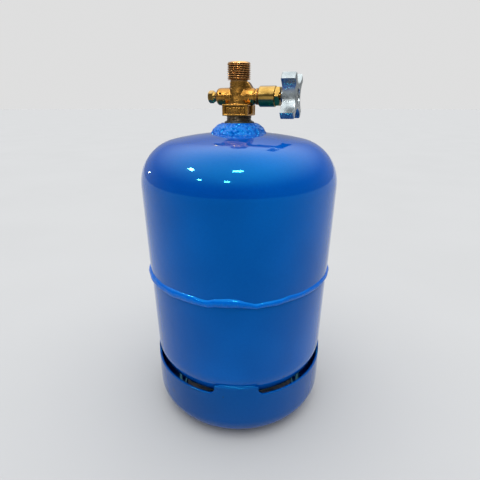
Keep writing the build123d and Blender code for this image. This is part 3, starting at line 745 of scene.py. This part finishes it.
def thread_profile(u):
    """Rounded V of a gas thread over one pitch, 1 at the crest and 0 at the root."""
    t = np.abs(u % 1.0 - 0.5) * 2
    return np.clip(1.28 - 1.5 * t, 0.0, 1.0)


PITCH = 25.4 / 14


def add_crease_light_attr(ob, values):
    at = ob.data.attributes.new("crease_shade_edge_highlight", "FLOAT", "POINT")
    at.data.foreach_set("value", np.asarray(values, np.float32))


def outlet():
    zb, z0, zt = Z_THR0 - 3.2, Z_THR0 - 0.1, Z_TOP
    rows = [(8.2, zb), (8.2, zb + 1.2), (8.3, z0 - 0.5), (8.9, z0 - 0.15)]
    zz = np.arange(z0 + 0.05, zt - 1.25, 0.09)
    rows += [(11.2, z) for z in zz]
    rows += [(10.85, zt - 1.1), (10.7, zt - 0.85), (10.2, zt - 0.4), (9.9, zt - 0.1), (9.6, zt), (6.1, zt), (5.9, zt - 0.05), (5.35, zt - 0.75), (5.0, zt - 1.1), (5.0, 359.0), (0.0, 359.0), (0.0, 358.0), (4.0, 358.0), (8.0, 359.5)]
    i0, i1 = 4, 4 + len(zz)

    def cut(th, r, z):
        r = r.copy()
        zr = z[:, i0:i1]
        # left-hand helix
        u = (zr - z0) / PITCH + th[:, i0:i1] / (2 * PI)
        ang = th[:, i0:i1]
        fade = np.clip(0.35 + (zr - z0) / 1.2, 0, 1) * np.clip((zt - 1.0 - zr) / 1.0, 0, 1)
        nick = np.clip(noise_grid(11 * np.cos(ang), 11 * np.sin(ang), zr, 2.6, 4.0) - 0.25, 0, 1)
        crest = 11.2 - 0.25 * nick
        r[:, i0:i1] = crest - (crest - 10.0) * (1 - thread_profile(u)) * fade
        return r, z
    th, r, z = lathe_points(rows, 240, cut)
    P = np.stack([r * np.cos(th)[:, None], r * np.sin(th)[:, None], z], -1)
    ob = finish_mesh("outlet_thread", P.reshape(-1, 3), grid_faces(*r.shape, True), sharp=45.0)
    co = np.zeros(len(ob.data.vertices) * 3)
    ob.data.vertices.foreach_get("co", co)
    co = co.reshape(-1, 3) / MM
    rad = np.hypot(co[:, 0], co[:, 1])
    # painted shade: the thread roots and the relief groove below the thread are darkened through the crease attribute
    crease_shade_edge_highlight = np.where((co[:, 2] > z0 - 0.6) & (co[:, 2] < zt - 0.6) & (rad > 8.0), (10.75 - rad) * 0.20, 0.0)
    crease_shade_edge_highlight = np.where((co[:, 2] <= z0 - 0.1) & (rad > 7.5), 0.10, crease_shade_edge_highlight)
    add_crease_light_attr(ob, crease_shade_edge_highlight)
    return attach(ob, "tank", "brass_forged", THREAD)


outlet()


def stem():
    taper = 3.0 / 26.0 / 2.0
    zt = Z_BLOCK0 + 0.6
    zz = np.arange(Z_STEM + 0.6, zt, 0.16)
    rows = [(4.0, Z_STEM), (10.0, Z_STEM)] + [(12.4 - (Z_BLOCK0 - z) * taper, z) for z in zz] + [(11.0, zt + 0.4), (4.0, zt + 0.4)]
    i0, i1 = 2, 2 + len(zz)

    def cut(th, r, z):
        r = r.copy()
        zr = z[:, i0:i1]
        u = (zr - Z_STEM) / PITCH - th[:, i0:i1] / (2 * PI)
        fill = 0.55 + 0.45 * np.clip(noise_grid(12 * np.cos(th[:, i0:i1]), 12 * np.sin(th[:, i0:i1]), zr, 3.5, 1.0) * 2, -1, 1)
        r[:, i0:i1] = r[:, i0:i1] - 1.0 * (1 - thread_profile(u)) * fill
        return r, z
    th, r, z = lathe_points(rows, 200, cut)
    P = np.stack([r * np.cos(th)[:, None], r * np.sin(th)[:, None], z], -1)
    ob = finish_mesh("stem_thread", P.reshape(-1, 3), grid_faces(*r.shape, True), sharp=60.0)
    return attach(ob, "tank", "brass_forged", STEM)


stem()


def sealant():
    z0 = Z_BOSS1 - 0.25
    pr = rounded([(11.4, z0 - 0.5, 0.0), (14.6, z0 - 0.4, 0.4), (14.4, z0 + 0.9, 0.6), (13.1, z0 + 1.7, 0.5), (12.3, z0 + 2.3, 0.4), (11.4, z0 + 2.3, 0.0)], 4)

    def f(th, r, z):
        x, y = r * np.cos(th), r * np.sin(th)
        k = np.clip((r - 11.6) / 1.5, 0, 1)
        a = noise_grid(x, y, z, 4.0, 5.5)
        b = noise_grid(x, y, z, 1.6, 2.5)
        return r + k * (0.75 * a + 0.3 * b), z + k * (0.5 * a + 0.25 * b)
    ob = lathe("thread_sealant_ring", pr, 240, f, sharp=70.0)
    return attach(ob, "tank", "sealant", SEALANT, "thread_sealant")


sealant()

# ------------------------------------------------------------------ turned and hexagonal pieces on the spindle axis
bon = rounded([(10.6, 3.9, 0.15), (10.6, 5.2, 0.3), (20.2, 5.28, 0.1), (20.2, 7.4, 0.2), (21.9, 9.15, 0.35), (36.7, 9.15, 0.45), (37.3, 8.4, 0.2), (37.3, 5.4, 0.1), (21.6, 5.4, 0.1), (21.6, 3.9, 0.1)], 5)
attach(lathe("bonnet_barrel", bon, 160, axis="x", sharp=50.0), "tank", "brass_turned", TURNED, "bonnet")


def hex_radius(th, af, phase=0.0):
    t = (th - phase) % (PI / 3) - PI / 6
    return (af / 2) / np.cos(t)


def hex_part(name, rows, af, phase, hex_rows, n_side=20):
    """Turned profile (x, r) capped by a hexagon on the given rows."""
    th = np.concatenate([np.linspace(k * PI / 3, (k + 1) * PI / 3, n_side, endpoint=False) for k in range(6)])
    th = np.sort(np.concatenate([th, np.arange(6) * PI / 3 + 0.012, (np.arange(6) * PI / 3 - 0.012) % (2 * PI)])) + phase
    pr = [(r, x) for x, r in rows]

    def f(t, r, z):
        r = r.copy()
        hr = hex_radius(t, af, phase)
        for i in hex_rows:
            r[:, i] = np.minimum(r[:, i], hr[:, i])
        return r, z
    _, r, z = lathe_points(pr, 0, f, th)
    P = np.stack([z, r * np.cos(th)[:, None], Z_V + r * np.sin(th)[:, None]], -1)
    poles = abs(pr[0][0]) < 1e-9 and abs(pr[-1][0]) < 1e-9
    return finish_mesh(name, P.reshape(-1, 3), grid_faces(*r.shape, not poles), sharp=24.0)


def cone(x0, x1, r0, r1, k):
    return [(x0 + (x1 - x0) * i / k, r0 + (r1 - r0) * i / k) for i in range(k + 1)]


rows = [(33.6, 3.3), (33.6, 5.3), (37.2, 5.3), (37.25, 7.9)] + cone(37.3, 38.2, 8.0, 9.4, 9) + [(38.7, 9.5), (39.8, 9.5)] + cone(40.6, 41.8, 9.5, 8.0, 11) + [(41.8, 7.4), (41.8, 3.5), (41.6, 3.3)]
hexrows = [i for i, (x, r) in enumerate(rows) if r > 7.95]
attach(hex_part("gland_nut_hex", rows, 16.0, 0.0, hexrows), "tank", "brass_turned", TURNED, "gland_nut")

# the head stands with a corner straight up
rows = [(-31.2, 0.0), (-31.2, 4.3)] + cone(-31.15, -30.2, 4.85, 5.95, 10) + [(-29.4, 6.0), (-27.6, 6.0)] + cone(-27.0, -25.9, 6.0, 4.9, 8) + [(-25.2, 4.75), (-24.4, 4.2), (-23.9, 3.95), (-23.45, 4.1), (-23.4, 3.0), (-11.6, 3.0), (-9.95, 0.5), (-9.95, 0.0)]
hexrows = [i for i, (x, r) in enumerate(rows) if r > 4.84]
attach(hex_part("bleed_screw_hex", rows, 10.0, PI / 6, hexrows), "bleed_screw", "brass_turned", TURNED, "bleed_screw")

ori = [(-22.74 + 0.62 * math.cos(q), 3.64 + 0.55 * math.sin(q)) for q in np.linspace(0, 2 * PI, 24, endpoint=False)]
attach(lathe("bleed_seal_ring", ori, 96, axis="x", sharp=80.0), "bleed_seal", "seal_rubber", RUBBER, "bleed_oring")

spi = [(15.2, 0.0), (15.2, 3.0), (15.5, 3.4), (21.8, 3.4), (21.8, 5.0), (24.0, 5.0), (24.0, 3.2), (25.2, 3.2), (25.2, 2.3), (27.0, 2.3), (27.0, 3.2), (42.1, 3.2), (42.25, 3.05), (42.45, 3.05), (42.6, 3.2), (54.2, 3.2), (54.6, 2.8), (54.6, 0.0)]
spindle = lathe("spindle_rod", spi, 96, axis="x", sharp=35.0)
bm = bmesh.new()
bm.from_mesh(spindle.data)
box_mesh(bm, 9.6 * MM, 15.3 * MM, -2.8 * MM, 2.8 * MM, (Z_V - 0.75) * MM, (Z_V + 0.75) * MM)
bm.to_mesh(spindle.data)
bm.free()
attach(spindle, "handwheel", "brass_turned", TURNED, "spindle")


# ------------------------------------------------------------------ handwheel
def wheel():
    n = 480
    RW, CF, RF, AZ = 23.6, 25.5, 14.9, 0.0
    x0, x1 = 45.2, 58.5
    th = np.linspace(0, 2 * PI, n, endpoint=False)
    # th runs from +Y towards +Z; the first flute faces -Y, the rest every quarter turn
    al = (th - (PI - AZ) + PI / 4) % (PI / 2) - PI / 4
    fl = CF * np.cos(al) - np.sqrt(np.clip(RF ** 2 - (CF * np.sin(al)) ** 2, 0, None))
    fl = np.where(np.abs(CF * np.sin(al)) >= RF - 0.01, 60.0, fl)
    k = 1.1
    hh = np.clip(0.5 + 0.5 * (RW - fl) / k, 0, 1)
    out = RW * (1 - hh) + fl * hh - k * hh * (1 - hh)
    rows = []
    A = lambda x, r: rows.append((np.full(n, x), np.full(n, r)))
    B = lambda x, ins: rows.append((np.full(n, x), out - ins))
    A(x0 - 2.4, 3.25); A(x0 - 2.4, 5.4); A(x0 - 2.25, 5.8); A(x0 - 1.9, 6.0); A(52.4, 6.5); A(52.7, 6.8)
    C = lambda x, r, w: rows.append((np.full(n, x), np.minimum(out - 3.2, r) - w))
    C(52.7, 15.0, 0.45); C(52.4, 15.2, 0.2); C(x0 + 0.7, 15.4, 0.1); C(x0 + 0.2, 15.6, 0.0); B(x0, 2.4); B(x0, 1.2)
    for q in np.linspace(0, PI / 2, 5):
        B(x0 + 0.9 - 0.9 * math.cos(q), 0.9 - 0.9 * math.sin(q))
    for x in np.linspace(x0 + 1.1, x1 - 1.8, 12):
        B(x, 0.0)
    for q in np.linspace(0.1, PI / 2, 7):
        B(x1 - 1.6 + 1.6 * math.sin(q), 1.6 - 1.6 * math.cos(q))
    B(x1, 1.9); B(x1, 2.6); A(x1, 7.4); A(x1, 6.95); A(x1 - 0.1, 6.7); A(x1 - 0.4, 6.6); A(54.85, 6.6); A(54.8, 6.5); A(54.8, 2.65)
    m = len(rows)
    P = np.zeros((n, m, 3))
    for j, (x, r) in enumerate(rows):
        P[:, j] = np.stack([x, r * np.cos(th), Z_V + r * np.sin(th)], -1)
    ob = finish_mesh("handwheel_casting", P.reshape(-1, 3), grid_faces(n, m, True), sharp=35.0)
    return attach(ob, "handwheel", "zinc", ZINC, "handwheel")


wheel()

was = rounded([(54.8, 1.7, 0.0), (54.8, 5.0, 0.12), (55.5, 5.0, 0.15), (55.5, 1.7, 0.0)], 3)
attach(lathe("wheel_washer", was, 96, axis="x"), "handwheel", "plated_steel", STEEL, "handwheel_washer")

scr = [(46.2, 0.0), (46.2, 1.0), (46.6, 1.22), (55.5, 1.22), (55.5, 3.2), (55.6, 3.4), (56.4, 3.4), (56.9, 3.15), (57.2, 2.7), (57.42, 1.9), (57.5, 0.9), (57.5, 0.0)]


def slotted(th, r, z):
    y = r * np.cos(th)
    deep = (np.abs(y) < 0.42) & (z > 56.4)
    return r, np.where(deep, 56.5, z)


attach(lathe("wheel_screw", scr[:-2] + [(57.5, 0.9), (57.5, 0.45), (57.5, 0.2), (57.5, 0.0)], 144, slotted, axis="x", sharp=35.0), "handwheel", "plated_steel", STEEL, "handwheel_screw")

# ------------------------------------------------------------------ small CAD nodes that stay as they are
for node, mat in (("ullage_tube", TURNED), ("bonnet_seal", COPPER), ("gland_packing", PACKING), ("gland_washer", TURNED), ("spindle_oring", RUBBER),
                  ("shutoff_plug", TURNED), ("seat_disc", NYLON)):
    ob = NODES[node]
    for s in ob.material_slots:
        s.material = mat
    if not ob.material_slots:
        ob.data.materials.append(mat)

# ------------------------------------------------------------------ stage, lights, camera
bpy.ops.mesh.primitive_circle_add(vertices=128, radius=45.0, fill_type="NGON")
floor = bpy.context.object
floor.name = "floor"
fm = Mat("floor_pale", Roughness=1.0, Specular_IOR_Level=0.0)
fm.link(fm.mix(fm.range(fm.noise(3.0, 3.0), 0.3, 0.7, 0.0, 1.0), (0.465, 0.465, 0.465), (0.475, 0.475, 0.475)), fm.p.inputs["Base Color"])
floor.data.materials.append(fm.m)

to_cam = Vector((math.sin(math.radians(CAM_AZ)), -math.cos(math.radians(CAM_AZ)), 0.0))
cam_right = Vector((math.cos(math.radians(CAM_AZ)), math.sin(math.radians(CAM_AZ)), 0.0))
BACKDROP = 0.735

world = bpy.data.worlds.new("studio")
bpy.context.scene.world = world
world.use_nodes = True
wt = world.node_tree
wl = wt.links


def wn(kind, **props):
    nd = wt.nodes.new("ShaderNode" + kind)
    for k, v in props.items():
        setattr(nd, k, v)
    return nd


def wmath(op, a, b, c=None):
    nd = wn("Math", operation=op)
    for s_, v in ((0, a), (1, b), (2, c)):
        if v is None:
            continue
        if isinstance(v, (int, float)):
            nd.inputs[s_].default_value = v
        else:
            wl.new(v, nd.inputs[s_])
    return nd.outputs[0]


def wrange(src, a, b, c, d):
    nd = wn("MapRange", interpolation_type="SMOOTHSTEP")
    for k, v in zip(("From Min", "From Max", "To Min", "To Max"), (a, b, c, d)):
        nd.inputs[k].default_value = v
    wl.new(src, nd.inputs["Value"])
    return nd.outputs["Result"]


tc = wn("TexCoord").outputs["Generated"]
sep = wn("SeparateXYZ")
wl.new(tc, sep.inputs[0])
dot = wn("VectorMath", operation="DOT_PRODUCT")
wl.new(tc, dot.inputs[0])
dot.inputs[1].default_value = tuple(-to_cam)
behind, up_z = dot.outputs["Value"], sep.outputs["Z"]
over = wrange(up_z, 0.28, 0.97, 0.0, 2.45)
rear = wmath("MULTIPLY", wrange(behind, -0.4, 1.0, 0.04, 0.24), wrange(up_z, 0.15, 0.75, 1.0, 0.0))
level = wmath("ADD", wmath("ADD", over, rear), 0.13)
soft_bg = wn("Background")
soft_bg.inputs["Color"].default_value = (0.97, 0.985, 1.0, 1)
wl.new(level, soft_bg.inputs["Strength"])
plain_bg = wt.nodes["Background"]
plain_bg.inputs["Color"].default_value = (1.0, 1.0, 1.0, 1)
plain_bg.inputs["Strength"].default_value = BACKDROP
mixer = wn("MixShader")
wl.new(wn("LightPath").outputs["Is Camera Ray"], mixer.inputs[0])
wl.new(soft_bg.outputs[0], mixer.inputs[1])
wl.new(plain_bg.outputs[0], mixer.inputs[2])
wl.new(mixer.outputs[0], wt.nodes["World Output"].inputs["Surface"])

F_PX, PITCH_DEG, DIST, HEIGHT, CX, CY = 352.9, 25.24, 385.1, 344.8, 239.0, 272.0
cam_loc = to_cam * (DIST * MM) + Vector((0, 0, HEIGHT * MM))
e = math.radians(PITCH_DEG)
look = -to_cam * math.cos(e) - Vector((0, 0, 1)) * math.sin(e)
cam_up = Vector((0, 0, 1)) * math.cos(e) - to_cam * math.sin(e)


def area(name, loc, target, size, size_y, radiance):
    ld = bpy.data.lights.new(name, "AREA")
    ld.shape = "RECTANGLE"
    ld.size, ld.size_y = size, size_y
    ld.energy = radiance * math.pi * size * size_y
    ob = bpy.data.objects.new(name, ld)
    ob.location = loc
    ob.rotation_mode = "QUATERNION"
    ob.rotation_quaternion = (Vector(target) - Vector(loc)).to_track_quat("-Z", "Y")
    bpy.context.scene.collection.objects.link(ob)
    return ob


def end_radius(z):
    """Radius of the upper cup at a height, in metres."""
    z = z / MM
    if z <= Z_UT:
        return R_UP * MM
    if z >= Z_UT + H_END:
        return 0.0
    d = R_UP - R_KN
    cz = Z_UT + H_END - rc_up
    tr = d + R_KN * d / math.hypot(d, cz - Z_UT)
    zk = Z_UT + math.sqrt(max(0.0, R_KN ** 2 - (tr - d) ** 2))
    if z < zk:
        return (d + math.sqrt(max(0.0, R_KN ** 2 - (z - Z_UT) ** 2))) * MM
    return math.sqrt(max(0.0, rc_up ** 2 - (z - cz) ** 2)) * MM


def lamp_at(px, py, size, size_y, radiance, dist=1.6):
    """A small lamp whose mirror image on the upper cup falls at a chosen place in the frame."""
    d = (look + cam_right * ((px - CX) / F_PX) - cam_up * ((py - CY) / F_PX)).normalized()
    f = lambda q: math.hypot(q.x, q.y) - end_radius(q.z)
    t = 0.15
    while t < 0.8 and f(cam_loc + d * t) > 0:
        t += 0.0005
    p = cam_loc + d * t
    h = 1e-3
    g = Vector((f(p + Vector((h, 0, 0))) - f(p - Vector((h, 0, 0))), f(p + Vector((0, h, 0))) - f(p - Vector((0, h, 0))), f(p + Vector((0, 0, h))) - f(p - Vector((0, 0, h))))).normalized()
    r = d - g * (2 * d.dot(g))
    return area("lamp_%d_%d" % (px, py), p + r * dist, p, size, size_y, radiance)


for px, py, sx, sy in ((191.3, 169.2, 0.17, 0.10), (199.7, 179.9, 0.12, 0.075), (237.8, 171.3, 0.26, 0.09), (227.1, 181.8, 0.17, 0.08)):
    lamp_at(px, py, sx, sy, 130.0).visible_diffuse = False
lamp_at(149.5, 172.4, 0.05, 0.05, 60.0).visible_diffuse = False

cam_data = bpy.data.cameras.new("camera")
cam = bpy.data.objects.new("camera", cam_data)
bpy.context.scene.collection.objects.link(cam)
cam_data.sensor_width = 36.0
cam_data.lens = F_PX * 36.0 / 480.0
cam_data.shift_x = (240.0 - CX) / 480.0
cam_data.shift_y = (CY - 240.0) / 480.0
cam_data.clip_start, cam_data.clip_end = 0.01, 90.0
cam.location = cam_loc
cam.rotation_mode = "QUATERNION"
cam.rotation_quaternion = look.to_track_quat("-Z", "Y")
bpy.context.scene.camera = cam
bpy.context.scene.view_settings.view_transform = "Standard"
